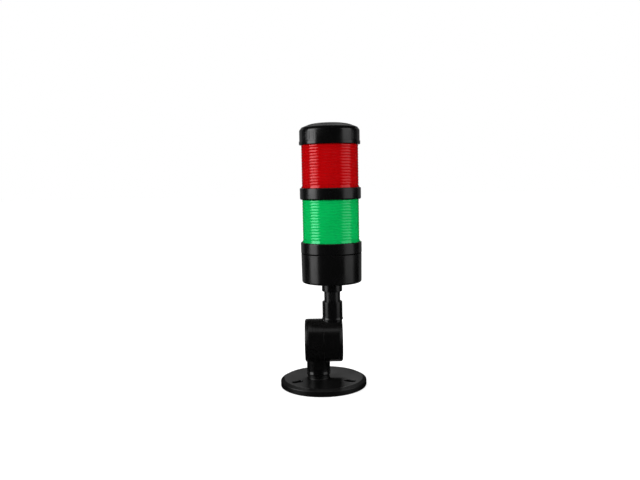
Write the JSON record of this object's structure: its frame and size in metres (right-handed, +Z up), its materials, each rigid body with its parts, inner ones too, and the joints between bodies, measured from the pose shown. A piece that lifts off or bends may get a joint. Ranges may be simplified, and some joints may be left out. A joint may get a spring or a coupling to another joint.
{
  "type": "signal tower light",
  "caption": "LED signal tower light with a ribbed red lens over a green one on a black housing, a folding knuckle and a round screw-down plate.",
  "frame": {"origin": "centre of the round plate at its underside", "axes": "+Z up the tower, +X along the hinge of the folding knuckle, -Y is the front"},
  "size_m": [0.072, 0.072, 0.2175],
  "materials": {
    "black_plastic": "satin moulded ABS",
    "black_plate": "semi-gloss moulded",
    "inner_plastic": "plain moulded",
    "red_lens": "clear red polycarbonate",
    "green_lens": "clear green polycarbonate",
    "rubber_seal": "matte",
    "zinc_steel": "zinc plated",
    "black_steel": "black oxide",
    "black_pole": "black anodised",
    "acetal": "plain",
    "brass": "bright",
    "circuit_board": "white solder mask",
    "led_resin": "clear resin",
    "terminal_plastic": "plain"
  },
  "bodies": {
    "base": {"base_plate": "black_plate", "plate_screw_1": "zinc_steel", "plate_screw_2": "zinc_steel", "plate_screw_3": "zinc_steel", "lower_knuckle": "black_plastic", "lower_cover": "black_plastic", "friction_washer": "acetal", "knuckle_seal": "rubber_seal", "pivot_screw": "black_steel", "pivot_washer": "zinc_steel", "spring_washer": "zinc_steel", "pivot_nut": "zinc_steel"},
    "arm": {"upper_knuckle": "black_plastic", "upper_cover": "black_plastic", "pole": "black_pole", "pole_set_screw": "black_steel", "base_housing": "black_plastic", "pole_washer": "zinc_steel", "pole_nut": "zinc_steel", "bayonet_deck": "inner_plastic", "base_board": "circuit_board", "terminal_block": "terminal_plastic"},
    "green_module": {"green_collar": "black_plastic", "green_lens": "green_lens", "green_seal": "rubber_seal", "green_contact_base": "inner_plastic", "green_led_board": "circuit_board", "green_led_1": "led_resin", "green_led_2": "led_resin", "green_led_3": "led_resin", "green_led_4": "led_resin", "green_contact_pin_1": "brass", "green_contact_pin_2": "brass", "green_contact_pin_3": "brass", "green_top_board": "circuit_board", "green_bus_bar_1": "brass", "green_bus_bar_2": "brass"},
    "red_module": {"red_collar": "black_plastic", "red_lens": "red_lens", "red_seal": "rubber_seal", "red_contact_base": "inner_plastic", "red_led_board": "circuit_board", "red_led_1": "led_resin", "red_led_2": "led_resin", "red_led_3": "led_resin", "red_led_4": "led_resin", "red_contact_pin_1": "brass", "red_contact_pin_2": "brass", "red_contact_pin_3": "brass", "red_top_board": "circuit_board", "red_bus_bar_1": "brass", "red_bus_bar_2": "brass"},
    "cap": {"top_cap": "black_plastic", "cap_seal": "rubber_seal"}
  },
  "joints": [
    {"name": "fold", "type": "hinge", "parent": "base", "child": "arm", "pos_m": [0.00075, 0, 0.0377], "axis": [1, 0, 0], "range_deg": [-90, 90]},
    {"name": "green_twist", "type": "hinge", "parent": "arm", "child": "green_module", "pos_m": [0.0084, 0, 0.1111], "axis": [0, 0, 1], "range_deg": [0, 20]},
    {"name": "red_twist", "type": "hinge", "parent": "green_module", "child": "red_module", "pos_m": [0.0084, 0, 0.1556], "axis": [0, 0, 1], "range_deg": [0, 20]},
    {"name": "cap_twist", "type": "hinge", "parent": "red_module", "child": "cap", "pos_m": [0.0084, 0, 0.2001], "axis": [0, 0, 1], "range_deg": [0, 20]}
  ]
}
